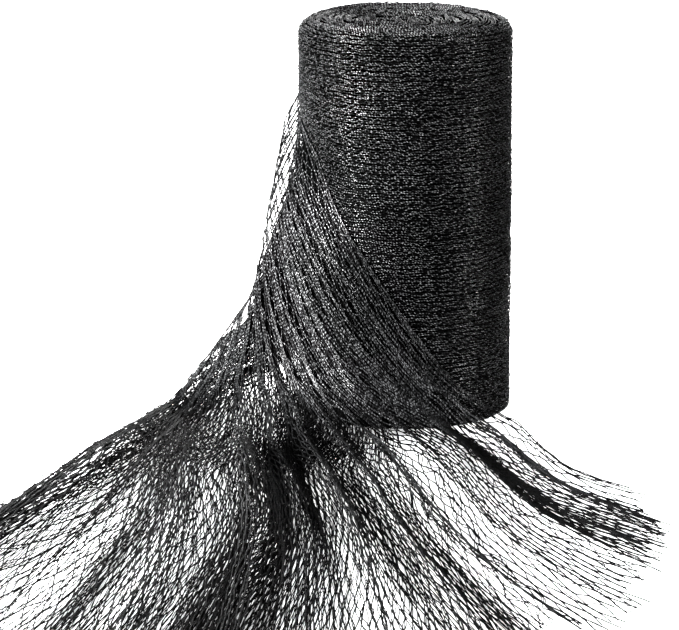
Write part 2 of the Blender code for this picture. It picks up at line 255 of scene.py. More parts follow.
# The bunches that the strands gather in on the floor: their rib at the cut end, half width in ribs
# and the strands to a rib that they add.
FAN_BUNCHES = table(
    "rib half outer inner",
    (0.03, 0.05, 34.0, 0.0), (1.10, 0.44, 35.0, 34.0), (1.62, 0.05, 12.0, 0.0),
    (3.72, 0.12, 19.0, 52.0), (4.30, 0.12, 9.0, 44.0), (5.46, 0.12, 12.0, 60.0),
    (6.02, 0.22, 22.0, 215.0), (6.66, 0.12, 12.0, 52.0), (7.76, 0.12, 72.0, 300.0),
)
# How strongly the pleats and slits shift the strands that lie on the floor.
FAN_FOLDED = table(
    "rib share",
    (0.0, 0.18), (1.3, 0.18), (1.6, 0.25), (3.2, 0.25), (3.8, 0.42),
    (5.3, 0.42), (6.0, 0.50), (6.6, 0.50), (8.0, 0.50),
)
# And how strongly they do that where the net hangs, in the outermost layer and in the inner ones.
HANGING_FOLDED = dict(outer=0.65, inner=0.35)
# The strands slant over the ribs on the floor: where those at a rib of the cut end lie half way.
SLANTS = table(
    "end middle",
    (0.00, 0.00), (1.12, 1.38), (2.20, 1.98), (3.10, 2.60), (3.50, 3.12), (3.72, 3.52), (4.30, 4.20),
    (5.42, 5.12), (6.04, 5.71), (6.30, 6.08), (6.60, 6.54), (7.76, 7.66), (8.00, 8.00),
)
SWING_MOST = 0.060           # most ribs that a strand swings to a side
SLANT_RUN = (0.60, 1.0)      # shares of the length that those two are meant for
FAN_SPREAD = (0.30, 0.58)    # stretch of the length in which the strands go to their places in the fan
FOLD_PINNED = 0.25           # ribs from a selvage over which the pleats and slits fade out
HANGING_ASIDE = 3.0          # most ribs by which the folds of two layers are shifted where they hang

# Layers of the loose end, outermost first: its strands, how far it lies off the surface, whether some
# of its strands come from the root, sideways sway in ribs, seed, and whether it is an inner one in painted
# shade.
LAYERS = table(
    "name strands lift rooted sway seed deep",
    ("loose_net_1", 233, 0.0046, True, 0.03, 3, False),
    ("loose_net_2", 129, 0.0034, True, 0.05, 5, True),
    ("loose_net_3", 153, 0.0024, False, 0.07, 7, True),
    ("loose_net_4", 153, 0.0014, False, 0.09, 11, True),
    ("loose_net_5", 153, 0.0004, False, 0.08, 13, True),
)
ROOTED_PAIR = 10             # of so many strands, two come from the root
# Where the other strands come from under the winding, rib by rib, as a share of the length.
TUCKED = table("rib along", (0.0, 0.085), (8.0, 0.133))
TUCK_POINT = 8               # the point of a strand whose rib counts for that
TUCK_STRAY = 0.012           # how far such a strand's start strays
TUCK_DEEPER = 0.11           # how much farther under it those of the inner layers may come from
TUCK_RUN = 0.13              # share of the length over which they leave the roll
END_FRAYED = 0.030           # most that a strand stops short of the cut end, as a share of the length
FOLD_FILLED = (0.58, 0.40)   # mean share of a fold's rise that the inner strands have, and how it varies
NET_RELIEF = 0.0011          # how far strands stand above and below their layer
RELIEF_RUN = 4.0             # that changes so much faster along the strands than across them
ROOT_PRESSED = (0.02, 0.06)  # the layers part from so far before the root, over so much of the length
ROOT_LIFT = 0.30             # share of a layer's height that it has at the root
ROOT_RISE = 0.42             # share of the length over which it gains the rest
# The net lies close on the roll near its upper selvage: over how many ribs, from what height on and
# over how much height, how far off, and the share of the layer's height that it has there.
SNUG = dict(ribs=0.9, above=0.02, run=0.05, gap=0.0006, lift=0.4)

# ---------------------------------------------------------------- the finishes
YARN_BLACK = (0.0001, 0.0001, 0.0001, 1.0)
YARN_GRAIN = 260.0           # scale of the shiny spots that carry the painted glints
PATCHES_SCALE = 14.0         # scale of the patches where the painted glints and the shine are weaker
CORE_GRAIN = 300.0           # scale of the grain in the close winding, which carries its bumps and its faint painted glints
# The yarns: Light is the painted highlight colour of the raised stitches in shiny spots (painted glints),
# Smooth and Rough the roughness of shiny and of dull places, Gleam how strongly the raised spots shine,
# Stitch the length of a chain stitch, FloorGlint the share of the painted glints and the shine left on the
# floor, and Even the share between the spots.
YARNS = dict(
    wound_yarn=dict(Light=(0.150, 0.152, 0.155, 1.0), Smooth=0.30, Rough=0.50, Gleam=1.00,
                    Stitch=0.0038, FloorGlint=1.0, Even=0.0),
    # Painted shade: a darker copy of the wound yarn, with almost no glint, for its deeper layers.
    wound_yarn_shaded=dict(Light=(0.001, 0.001, 0.001, 1.0), Smooth=0.45, Rough=0.60, Gleam=0.04,
                         Stitch=0.0034, FloorGlint=1.0, Even=0.0),
    loose_yarn=dict(Light=(0.080, 0.082, 0.084, 1.0), Smooth=0.34, Rough=0.50, Gleam=0.40,
                    Stitch=0.0045, FloorGlint=0.16, Even=0.06),
    # Painted shade: a darker copy of the loose yarn, with almost no glint, for its inner layers.
    loose_yarn_shaded=dict(Light=(0.003, 0.003, 0.003, 1.0), Smooth=0.45, Rough=0.60, Gleam=0.06,
                         Stitch=0.0045, FloorGlint=0.50, Even=0.0),
)
GLINT_FADE_HEIGHTS = (0.012, 0.044)  # heights between which the painted glints and the shine fade in; below them, painted shade on low-lying yarn

# ---------------------------------------------------------------- the studio
FLOOR_SIZE = 28.0
FLOOR_SHADES = ((0.12, 0.12, 0.12, 1.0), (0.94, 0.94, 0.94, 1.0))  # as it lights the net, and is seen
FLOOR_GLOW = 0.55            # how much it glows where it is seen
AIR_STRENGTHS = (0.08, 1.0)  # how bright the air is as it lights the net, and as it is seen
LAMPS = table(
    "name place wide high watts",
    ("key", (-3.25, -1.85, 1.05), 2.6, 1.2, 2800.0),
    ("fill", (3.0, -1.0, 1.2), 1.4, 1.0, 345.0),
    ("far", (0.0, 3.3, 1.9), 1.6, 1.0, 150.0),
    ("top", (0.0, -0.3, 3.2), 1.6, 1.6, 220.0),
)
LAMPS_AIM = np.array([0.0, -0.1, 0.2])
CAMERA = dict(place=(-0.0835, -4.725, 1.241), tilt=76.62, lens=200.0, sensor=36.0)


# ---------------------------------------------------------------- small helpers
def ease(x):
    """A smooth step from 0 to 1."""
    x = np.clip(x, 0.0, 1.0)
    return x * x * (3.0 - 2.0 * x)


def ease_between(x, start, end):
    """A smooth step from 0 at the start to 1 at the end."""
    return ease((x - start) / (end - start))


def unit(vectors):
    """The vectors at length one."""
    return vectors / np.maximum(np.linalg.norm(vectors, axis=-1, keepdims=True), 1e-12)


def turn_between(turn, other):
    """Signed degrees from one turn to another, -180 to 180."""
    return (turn - other + 180.0) % 360.0 - 180.0


def about_axis(angle, reach, height):
    """Points at angles (radians) about the roll's axis, at their reaches and heights."""
    return np.stack(np.broadcast_arrays(reach * np.cos(angle), reach * np.sin(angle), height), axis=-1)


def from_axis(x, y):
    """Turns (degrees, 0 to 360) and reaches of places about the roll's axis."""
    return np.degrees(np.arctan2(y, x)) % 360.0, np.hypot(x, y)


def run_length(line):
    """Length along a line, from its start to each of its points."""
    return np.concatenate([[0.0], np.cumsum(np.linalg.norm(np.diff(line, axis=0), axis=1))])


def looked_up(table, given, wanted, values):
    """A table's wanted column at values of the given one, along straight lines between its rows."""
    return np.interp(values, [row[given] for row in table], [row[wanted] for row in table])


def waves(dice, count, fastest):
    """Random plane waves: how fast each runs along two directions, and its start."""
    return dice.uniform(-1.0, 1.0, (count, 2)) * np.asarray(fastest), dice.uniform(0.0, FULL_TURN, count)


def ring_waves(dice, kind):
    """Random waves over the roll's side that close on themselves after a turn."""
    about = dice.integers(-kind["about"], kind["about"] + 1, kind["count"])
    upward = dice.uniform(-kind["upward"], kind["upward"], kind["count"])
    return np.stack([about, upward], axis=-1), dice.uniform(0.0, FULL_TURN, kind["count"])


def folding(seed, count, slowest, fastest, drift):
    """Random waves across the ribs, all between two paces, that drift along them."""
    dice = np.random.default_rng(seed)
    paces = dice.uniform(slowest, fastest, count) * dice.choice((-1.0, 1.0), count)
    drifts = dice.uniform(-drift, drift, count)
    return np.stack([paces, drifts], axis=-1), dice.uniform(0.0, FULL_TURN, count)


def ripple(kind, first, second):
    """The sum of the waves at two coordinates, mostly between -1 and 1."""
    speeds, starts = kind
    total = sum(np.sin(speed[0] * first + speed[1] * second + start)
                for speed, start in zip(speeds, starts))
    return total / math.sqrt(len(starts))


def limited_ripple(kind, first, second):
    """The same, never past -1 and 1."""
    return np.clip(ripple(kind, first, second), -1.0, 1.0)


def new_object(name, mesh):
    """A new object in the scene, at the origin."""
    thing = bpy.data.objects.new(name, mesh)
    bpy.context.scene.collection.objects.link(thing)
    return thing


# ---------------------------------------------------------------- strands as tubes
class Bundle:
    """Collects strands, each a closed tube of three sides, into one mesh."""

    SIDES = 3

    def __init__(self):
        self.points, self.quads, self.caps, self.spans = [], [], [], []
        self.count = 0

    def add(self, line, upward, radius, ring=False, start=0.0):
        """A strand along a line; upward is the direction that one of its three edges faces."""
        if ring:
            ahead = unit(np.roll(line, -1, axis=0) - np.roll(line, 1, axis=0))
        else:
            ahead = unit(np.gradient(line, axis=0))
        across = unit(np.cross(ahead, upward))
        over = np.cross(across, ahead)
        angles = math.pi / 2.0 + FULL_TURN * np.arange(self.SIDES) / self.SIDES
        thick = np.broadcast_to(np.asarray(radius, dtype=float), (len(line),))[:, None, None]
        points = line[:, None] + thick * (np.cos(angles)[None, :, None] * across[:, None]
                                          + np.sin(angles)[None, :, None] * over[:, None])
        rows = len(line)
        here = np.arange(rows if ring else rows - 1)[:, None] * self.SIDES
        there = (here + self.SIDES) % (rows * self.SIDES)
        side = np.arange(self.SIDES)[None, :]
        following = (side + 1) % self.SIDES
        quads = np.stack([here + side, there + side, there + following, here + following], axis=-1)
        self.points.append(points.reshape(-1, 3))
        self.quads.append(quads.reshape(-1, 4) + self.count)
        self.spans.append(self.unrolled(line, side, quads.shape[:2], start))
        if not ring:
            last = (rows - 1) * self.SIDES
            self.caps.append(np.array([[0, 1, 2], [last + 2, last + 1, last]]) + self.count)
        self.count += rows * self.SIDES

    def unrolled(self, line, side, shape, start):
        """The corners of the strand's faces in its map: shares of the turn about it, length along it."""
        along = run_length(line)
        along = np.concatenate([along, [along[-1] + np.linalg.norm(line[0] - line[-1])]]) + start
        near = np.broadcast_to(along[:shape[0]][:, None], shape)
        far = np.broadcast_to(along[1:shape[0] + 1][:, None], shape)
        low = np.broadcast_to(side / self.SIDES, shape)
        high = low + 1.0 / self.SIDES
        corners = ((low, near), (low, far), (high, far), (high, near))
        return np.stack([np.stack(corner, axis=-1) for corner in corners], axis=-2).reshape(-1, 2)

    def mesh_object(self, name, finish):
        """The strands as one object, with a UV map of turn about and length along each strand."""
        points = np.concatenate(self.points)
        quads = np.concatenate(self.quads)
        caps = np.concatenate(self.caps) if self.caps else np.zeros((0, 3), dtype=int)
        corners = np.concatenate([quads.ravel(), caps.ravel()]).astype(np.int32)
        starts = np.concatenate([np.arange(len(quads)) * 4, len(quads) * 4 + np.arange(len(caps)) * 3])
        mesh = bpy.data.meshes.new(name)
        mesh.vertices.add(len(points))
        mesh.vertices.foreach_set("co", points.astype(np.float32).ravel())
        mesh.loops.add(len(corners))
        mesh.loops.foreach_set("vertex_index", corners)
        mesh.polygons.add(len(quads) + len(caps))
        mesh.polygons.foreach_set("loop_start", starts.astype(np.int32))
        mesh.update(calc_edges=True)
        spans = np.concatenate(self.spans + [np.zeros((caps.size, 2))])
        mesh.uv_layers.new(name="strand").data.foreach_set("uv", spans.astype(np.float32).ravel())
        mesh.validate()
        mesh.shade_smooth()
        mesh.materials.append(finish)
        return new_object(name, mesh)


# ---------------------------------------------------------------- making finishes
def feed(tree, taker, given):
    """Each named input of a node gets a plain value, or the output of another node."""
    for name, value in given.items():
        if isinstance(value, bpy.types.NodeSocket):
            tree.links.new(value, taker.inputs[name])
        else:
            taker.inputs[name].default_value = value


def node(tree, kind, place, given=None, **settings):
    """A new node with its settings, and what its inputs are given."""
    made = tree.nodes.new(kind)
    made.location = place
    for key, value in settings.items():
        setattr(made, key, value)
    feed(tree, made, given or {})
    return made


def maths(tree, place, operation, *given):
    """The result of a Math node."""
    return node(tree, "ShaderNodeMath", place, dict(enumerate(given)), operation=operation).outputs[0]


def noise(tree, place, spot, scale, detail):
    """The value of a Noise Texture at a spot."""
    given = {"Vector": spot, "Scale": scale, "Detail": detail}
    return node(tree, "ShaderNodeTexNoise", place, given).outputs["Fac"]


def ranged(tree, place, value, given, **settings):
    """A value carried from one range to another."""
    return node(tree, "ShaderNodeMapRange", place, {"Value": value, **given}, **settings).outputs["Result"]


def new_finish(name):
    """A new material, its node tree and its shader."""
    finish = bpy.data.materials.new(name)
    finish.use_nodes = True
    return finish, finish.node_tree, finish.node_tree.nodes["Principled BSDF"]


def yarn_group():
    """The look of knitted yarn: chain stitches along it, shiny spots over it and painted glints on its
    raised stitches.
    """
    group = bpy.data.node_groups.new("knitted_yarn", "ShaderNodeTree")
    takes = dict(Span="Vector", Place="Vector", Dark="Color", Light="Color", Stitch="Float",
                 Smooth="Float", Rough="Float", Gleam="Float", FloorGlint="Float", Even="Float")
    gives = dict(Color="Color", Roughness="Float", Shine="Float", Height="Float")
    for side, kinds in (("INPUT", takes), ("OUTPUT", gives)):
        for name, kind in kinds.items():
            group.interface.new_socket(name, in_out=side, socket_type="NodeSocket" + kind)
    given = node(group, "NodeGroupInput", (-900, 0))
    span, spot, even = given.outputs["Span"], given.outputs["Place"], given.outputs["Even"]

    # Chain stitches: a slanting wave along the strand.
    split = node(group, "ShaderNodeSeparateXYZ", (-700, 100), {0: span})
    turns = maths(group, (-520, 160), "DIVIDE", split.outputs["Y"], given.outputs["Stitch"])
    slant = maths(group, (-360, 160), "ADD", turns, split.outputs["X"])
    angle = maths(group, (-200, 160), "MULTIPLY", slant, FULL_TURN)
    wave = maths(group, (-40, 160), "SINE", angle)
    crest = ranged(group, (120, 160), wave, {"From Min": 0.10, "From Max": 0.90, "To Min": even},
                   interpolation_type="SMOOTHSTEP")

    # Spots where the yarn is shinier and takes painted glints, and patches where both are weaker.
    spots = noise(group, (-520, -140), spot, YARN_GRAIN, 2.0)
    shine_and_glint_spots = ranged(group, (-300, -140), spots, {"From Min": 0.42, "From Max": 0.66, "To Min": even})
    patches = noise(group, (-520, -380), spot, PATCHES_SCALE, 3.0)
    glint_patches = ranged(group, (-300, -380), patches, {"From Min": 0.35, "From Max": 0.70, "To Min": 0.55})

    # Painted shade near the floor: low-lying yarn loses its painted glints and its shine.
    level = node(group, "ShaderNodeSeparateXYZ", (-520, -600), {0: spot})
    heights = {"From Min": GLINT_FADE_HEIGHTS[0], "From Max": GLINT_FADE_HEIGHTS[1]}
    glint_above_floor = ranged(group, (-300, -600), level.outputs["Z"], {**heights, "To Min": given.outputs["FloorGlint"]})
    glint_spots = maths(group, (-80, -80), "MULTIPLY", shine_and_glint_spots, glint_patches)
    lit = maths(group, (100, -200), "MULTIPLY", glint_spots, glint_above_floor)
    raised = maths(group, (300, 60), "MULTIPLY", crest, lit)

    # Painted highlight: raised stitches in the shiny spots take the lighter glint colour.
    mixed = node(group, "ShaderNodeMix", (500, 120), data_type="RGBA")
    feed(group, mixed, {"Factor": raised, 6: given.outputs["Dark"], 7: given.outputs["Light"]})
    gloss = ranged(group, (500, -120), shine_and_glint_spots,
                   {"To Min": given.outputs["Rough"], "To Max": given.outputs["Smooth"]})
    shine = maths(group, (500, -300), "MULTIPLY", raised, given.outputs["Gleam"])
    node(group, "NodeGroupOutput", (900, 0),
         {"Color": mixed.outputs[2], "Roughness": gloss, "Shine": shine, "Height": raised})
    return group


def yarn_finish(name, group):
    """A black satin yarn with the values that the table gives it."""
    finish, tree, shader = new_finish(name)
    span = node(tree, "ShaderNodeUVMap", (-520, 160), uv_map="strand")
    spot = node(tree, "ShaderNodeTexCoord", (-520, -60))
    detail = node(tree, "ShaderNodeGroup", (-300, 100), node_tree=group)
    feed(tree, detail, {"Span": span.outputs["UV"], "Place": spot.outputs["Object"], "Dark": YARN_BLACK,
                        **YARNS[name]})
    bump = node(tree, "ShaderNodeBump", (-80, -160),
                {"Height": detail.outputs["Height"], "Strength": 0.6, "Distance": 0.0003})
    feed(tree, shader, {
        "Base Color": detail.outputs["Color"], "Roughness": detail.outputs["Roughness"],
        "Coat Weight": detail.outputs["Shine"], "Normal": bump.outputs["Normal"],
        "Coat Roughness": 0.24, "Coat IOR": 2.0, "Specular IOR Level": 0.01})
    return finish


def core_finish():
    """The close winding under the outer strands: dark rows, with faint painted glints on their raised grain
    between them.
    """
    finish, tree, shader = new_finish("wound_core")
    spot = node(tree, "ShaderNodeTexCoord", (-1000, 0)).outputs["Object"]
    rows = node(tree, "ShaderNodeTexWave", (-760, 120),
                {"Vector": spot, "Scale": 78.0, "Distortion": 2.4, "Detail": 2.0, "Detail Scale": 3.0},
                wave_type="BANDS", bands_direction="Z")
    grain = noise(tree, (-760, -160), spot, CORE_GRAIN, 2.0)
    height = maths(tree, (-520, 0), "MULTIPLY", rows.outputs["Fac"], grain)
    # Painted glints: the raised grain is a little lighter.
    colour = node(tree, "ShaderNodeValToRGB", (-320, 140), {"Fac": height})
    low, high = colour.color_ramp.elements
    low.position, low.color = 0.15, YARN_BLACK
    high.position, high.color = 0.75, (0.0006, 0.0006, 0.0006, 1.0)
    rough = ranged(tree, (-320, -120), height, {"To Min": 0.85, "To Max": 0.50})
    bump = node(tree, "ShaderNodeBump", (-120, -260),
                {"Height": height, "Strength": 0.9, "Distance": 0.0012})
    feed(tree, shader, {"Base Color": colour.outputs["Color"], "Roughness": rough,
                        "Normal": bump.outputs["Normal"], "Specular IOR Level": 0.0})
    return finish


# ---------------------------------------------------------------- the wound roll
def roll_radius(turn, height):
    """Radius of the wound side at a turn (degrees, 0 to 360) and a height."""
    angle = np.radians(turn)
    lumps = sum(lump["share"] * np.sin(lump["about"] * angle + lump["upward"] * height + lump["start"])
                for lump in LUMPS)
    radius = ROLL_RADIUS - LUMP_RELIEF * (1.0 - lumps)
    for crease in CREASES:
        along = np.clip(1.0 - np.abs(height - crease["height"]) / crease["half"], 0.0, 1.0)
        about = 0.5 + 0.5 * np.cos(np.radians(turn_between(turn, crease["turn"])))
        radius = radius - crease["depth"] * ease(along) * about
    about = (ease_between(turn, HOLLOW["start"], HOLLOW["full"])
             * ease_between(turn, HOLLOW["end"], HOLLOW["ease"]))
    upright = (ease_between(height, HOLLOW["top"], HOLLOW["full_top"])
               * ease_between(height, HOLLOW["low"], HOLLOW["full_low"]))
    return radius - HOLLOW["depth"] * about * upright


def turns_towards_eye(x, y):
    """The wound top's turns are circles that shift towards the eye as they shrink: the radius of
    the one through a place, and the place's angle on it (radians)."""
    rim = ROLL_RADIUS - RIM_ROUND
    off = EYE_PLACE[0] ** 2 + EYE_PLACE[1] ** 2 - rim ** 2
    middle = rim ** 2 - x * EYE_PLACE[0] - y * EYE_PLACE[1]
    inward = (np.sqrt(np.maximum(middle ** 2 - off * (x ** 2 + y ** 2 - rim ** 2), 0.0)) - middle) / off
    inward = np.clip(inward, 0.0, 1.0)
    about = np.arctan2(y - EYE_PLACE[1] * inward, x - EYE_PLACE[0] * inward)
    return rim * (1.0 - inward), about


def top_height(turn, reach):
    """Height of the wound top: a shallow dish with spiral twists and an open eye."""
    x = reach * np.cos(np.radians(turn))
    y = reach * np.sin(np.radians(turn))
    inner = np.clip(1.0 - reach / (ROLL_RADIUS - RIM_ROUND), 0.0, 1.0)
    wound, about = turns_towards_eye(x, y)
    wave = 0.5 + 0.5 * np.cos(FULL_TURN * wound / TWIST_PITCH - about)
    near_rim = ease(inner / TWIST_FADE)
    uneven = 1.0 - TWIST_UNEVEN * (1.0 - np.sin(np.radians(2.0 * turn) + TWIST_WANDER * reach))
    from_eye = np.hypot(x - EYE_PLACE[0], y - EYE_PLACE[1]) / EYE_RADIUS
    eye = EYE_DEPTH * ease(1.0 - from_eye)
    return ROLL_HEIGHT - TOP_DISH * ease(inner) - eye - TWIST_RELIEF * wave * near_rim * uneven


HEEL_RUN = HEEL_ROUND * math.pi / 2.0
SIDE_RUN = ROLL_HEIGHT - HEEL_ROUND - RIM_ROUND
RIM_RUN = RIM_ROUND * math.pi / 2.0
WRAP_RUN = HEEL_RUN + SIDE_RUN + RIM_RUN


def wrap_profile(run):
    """Up the side from the flat foot to the flat top: inset from the radius, height and lean."""
    heel = np.clip(run / HEEL_RUN, 0.0, 1.0) * math.pi / 2.0
    rim = np.clip((run - HEEL_RUN - SIDE_RUN) / RIM_RUN, 0.0, 1.0) * math.pi / 2.0
    side = np.clip(run - HEEL_RUN, 0.0, SIDE_RUN)
    inset = HEEL_ROUND * (1.0 - np.sin(heel)) + RIM_ROUND * (1.0 - np.cos(rim))
    height = HEEL_ROUND * (1.0 - np.cos(heel)) + side + RIM_ROUND * np.sin(rim)
    return inset, height, heel - math.pi / 2.0 + rim


def wrap_point(turn, run, depth):
    """A point of the wound side, that deep under its surface, and the way out of the roll there."""
    inset, height, lean = wrap_profile(run)
    reach = roll_radius(turn % 360.0, height) - inset - depth * np.cos(lean)
    height = (height - depth * np.sin(lean)) * WOUND_STRETCH
    angle = np.radians(turn)
    return about_axis(angle, reach, height), about_axis(angle, np.cos(lean), np.sin(lean))


def wrap_rings(wrap, finish):
    """One layer of the winding: rings of strand up the side, drawn nearly straight."""
    dice = np.random.default_rng(wrap["seed"])
    drift, swell, curl = [ring_waves(dice, kind) for kind in (ROW_DRIFT, ROW_SWELL, ROW_CURL)]
    count = wrap["knots"]
    knots = np.arange(count)
    start = dice.uniform(0.0, 1.0)
    bundle = Bundle()
    for row in range(int(WRAP_RUN / WRAP_ROW)):
        turns = 360.0 * (knots + start + dice.uniform(-BEND_STRAY, BEND_STRAY, count)) / count
        angle = np.radians(turns)
        swing = ((knots + row) % 2 - 0.5) * 2.0 * WRAP_SWING + dice.normal(0.0, WRAP_STRAY, count)
        second = row % 2
        run = (row + 0.5 + WRAP_PAIRED * (1 - 2 * second) + swing + dice.normal(0.0, ROW_STRAY)) * WRAP_ROW
        drifted = ROW_DRIFT["far"] * ripple(drift, angle, run)
        run = run + drifted + ROW_CURL["far"] * ripple(curl, angle, run)
        inside = ease(run / PULL["fade"]) * ease((WRAP_RUN - run) / PULL["fade"])
        beside = np.abs(turn_between(turns, PULL["turn"])) / PULL["half"]
        run = run + PULL["rise"] * inside * ease(1.0 - beside)
        run = np.clip(run, WRAP_ENDS[0], WRAP_RUN - WRAP_ENDS[1])
        bulge = ROW_SWELL["far"] * ripple(swell, angle, run) + dice.normal(0.0, BEND_DEPTH, count)
        point, outward = wrap_point(turns, run, wrap["depth"] - (bulge - PAIR_DEEPER * second))
        point[:, 2] = np.maximum(point[:, 2], wrap["yarn"] * WRAP_CLEAR)
        yarn = wrap["yarn"] * dice.uniform(*WRAP_UNEVEN)
        bundle.add(point, outward, yarn, ring=True, start=dice.uniform(0.0, 1.0))
    return bundle.mesh_object(wrap["name"], finish)


def spiral(dice, outer, inner, pitch):
    """One strand's way inwards over a wound end: turns (degrees), reaches, and which way it bobs."""
    reach, turn, flip, rows = outer, 0.0, 1, []
    drift = waves(dice, count=6, fastest=(3.0, 130.0))
    while reach > inner:
        step = math.degrees(END_STEP / reach) * dice.uniform(*STEP_UNEVEN)
        turn += step
        reach -= pitch * step / 360.0
        flip = -flip
        wander = SPIRAL["wander"] * float(ripple(drift, math.radians(turn), reach)) + flip * SPIRAL["bob"]
        rows.append((turn, reach + wander + dice.normal(0.0, SPIRAL["stray"]), flip))
    return np.array(rows).T


def on_top(angle, reach):
    """A place on the wound top, at an angle and radius of the circles that shift towards the eye."""
    share = 1.0 - reach / (ROLL_RADIUS - RIM_ROUND)
    x = reach * np.cos(angle) + EYE_PLACE[0] * share
    y = reach * np.sin(angle) + EYE_PLACE[1] * share
    return x, y, top_height(*from_axis(x, y)) * WOUND_STRETCH


def top_spiral(bundle, dice):
    """The net's edge over the wound top, turn by turn."""
    uneven = waves(dice, count=8, fastest=(4.0, 160.0))
    for strand in TOP_TURN:
        outer = ROLL_RADIUS - RIM_ROUND + strand["out"] + TOP_START
        turn, reach, flip = spiral(dice, outer, EYE_OPEN, TOP_PITCH)
        x, y, surface = on_top(np.radians(turn), reach)
        height = surface - strand["under"] + TOP_UNEVEN["wander"] * ripple(uneven, np.radians(turn), reach)
        height = height + flip * TOP_UNEVEN["bob"] + dice.normal(0.0, TOP_UNEVEN["stray"], len(turn))
        bundle.add(np.stack([x, y, height], axis=-1), UP, END_YARN)


def inner_curl(bundle, dice):
    """The net's inner end, curled up on the wound top and tipped towards the front."""
    tilt = math.radians(CURL["tilt"])
    middle = float(on_top(math.pi, 0.0)[2]) + CURL["radius"] * CURL["raised"]
    for loop in range(CURL["loops"]):
        reach = CURL["radius"] * (loop + CURL["first"]) / (CURL["loops"] - 1 + CURL["first"])
        angle = np.radians(np.arange(0.0, 360.0, CURL["step"]) + dice.uniform(0.0, CURL["step"]))
        side = reach * CURL["wide"] * np.cos(angle) + dice.normal(0.0, CURL["stray"], len(angle))
        rise = reach * np.sin(angle) + dice.normal(0.0, CURL["stray"], len(angle))
        line = np.stack([CURL["place"][0] + side, CURL["place"][1] + rise * math.cos(tilt),
                         middle + rise * math.sin(tilt)], axis=-1)
        bundle.add(line, np.array([0.0, -math.sin(tilt), math.cos(tilt)]), END_YARN, ring=True)


def rim_loops(bundle, dice):
    """Loops of strand that stand off the rim."""
    points = RIM_LOOPS["points"]
    for _ in range(RIM_LOOPS["count"]):
        half = dice.uniform(*RIM_LOOPS["half"])
        turn = dice.uniform(0.0, 360.0) + np.linspace(-half, half, points)
        run = np.full(points, WRAP_RUN - dice.uniform(0.0, RIM_LOOPS["down"]) * RIM_RUN)
        rise = RIM_LOOPS["rise"] * dice.uniform(RIM_LOOPS["lowest"], 1.0)
        arch = rise * np.sin(np.linspace(0.0, math.pi, points))
        point, outward = wrap_point(turn, run, RIM_LOOPS["sunk"] - arch)
        bundle.add(point, outward, END_YARN * RIM_LOOPS["yarn"])


def wound_top(finish):
    """The wound end on top: the net's edge, its curled inner end and the loops along the rim."""
    dice = np.random.default_rng(TOP_SEED)
    bundle = Bundle()
    for part in (top_spiral, inner_curl, rim_loops):
        part(bundle, dice)
    return bundle.mesh_object("wound_top", finish)


def wound_foot(finish):
    """The wound end under the roll."""
    dice = np.random.default_rng(FOOT_SEED)
    bundle = Bundle()
    outer = ROLL_RADIUS - HEEL_ROUND - FOOT["inset"]
    turn, reach, flip = spiral(dice, outer, FOOT["open"], FOOT["pitch"])
    bundle.add(about_axis(np.radians(turn), reach, FOOT["height"] + FOOT["bob"] * flip), UP, END_YARN)
    return bundle.mesh_object("wound_foot", finish)


def wound_core(finish):
    """The close winding that shows between the outer strands, as one closed turned body."""
    around, low, depth = CORE["around"], CORE["low"], CORE["depth"]
    turns = np.arange(around) * 360.0 / around
    angle = np.radians(turns)
    foot = roll_radius(turns, 0.0) - HEEL_ROUND
    rows = [about_axis(angle, foot * ring / (CORE["foot"] + 1), low) for ring in range(1, CORE["foot"] + 1)]
    for step in range(CORE["side"] + 1):
        point, _ = wrap_point(turns, np.full(around, WRAP_RUN * step / CORE["side"]), depth)
        point[:, 2] = np.maximum(point[:, 2], low)
        rows.append(point)
    rim = np.hypot(rows[-1][:, 0], rows[-1][:, 1])
    for ring in range(CORE["top"] - 1, 0, -1):
        reach = rim * ring / CORE["top"]
        rows.append(about_axis(angle, reach, top_height(turns, reach) * WOUND_STRETCH - depth))
    middle = float(top_height(0.0, 0.0)) * WOUND_STRETCH - depth
    points = np.concatenate([[(0.0, 0.0, low)]] + rows + [[(0.0, 0.0, middle)]])
    faces = []
    last = 1 + (len(rows) - 1) * around
    for k in range(around):
        following = (k + 1) % around
        faces.append((0, 1 + following, 1 + k))
        for start in range(1, last, around):
            faces.append((start + k, start + following, start + around + following, start + around + k))
        faces.append((last + k, last + following, len(points) - 1))
    mesh = bpy.data.meshes.new("wound_core")
    mesh.from_pydata(points.tolist(), [], faces)
    mesh.shade_smooth()
    mesh.materials.append(finish)
    return new_object("wound_core", mesh)


# ---------------------------------------------------------------- the loose end's surface
def spot_at(turn, reach, height=0.0):
    """A point from its turn (degrees), its reach from the roll's axis and its height."""
    angle = math.radians(turn)
    return (reach * math.cos(angle), reach * math.sin(angle), height)


def rib_stations():
    """The ribs' stations as an array of ribs by stations by coordinates."""
    rows = []
    for rib in RIBS:
        root_reach = float(roll_radius(ROOT_TURN, rib["root"])) + ROOT_GAP
        rows.append([spot_at(ROOT_TURN, root_reach, rib["root"])]
                    + [spot_at(*rib[name]) for name in ("hip", "front", "foot", "land", "middle", "end")])
    return np.array(rows)


def between_ribs(stations, rib):
    """The stations of a line at a fractional rib, on smooth curves through the ribs."""
    low = min(int(rib), LAST_RIB - 1)
    share = rib - low
    here, following = stations[low], stations[low + 1]
    before = stations[low - 1] if low > 0 else 2.0 * here - following
    after = stations[low + 2] if low + 2 <= LAST_RIB else 2.0 * following - here
    return 0.5 * (2.0 * here + (following - before) * share
                  + (2.0 * before - 5.0 * here + 4.0 * following - after) * share ** 2
                  + (3.0 * here - 3.0 * following + after - before) * share ** 3)


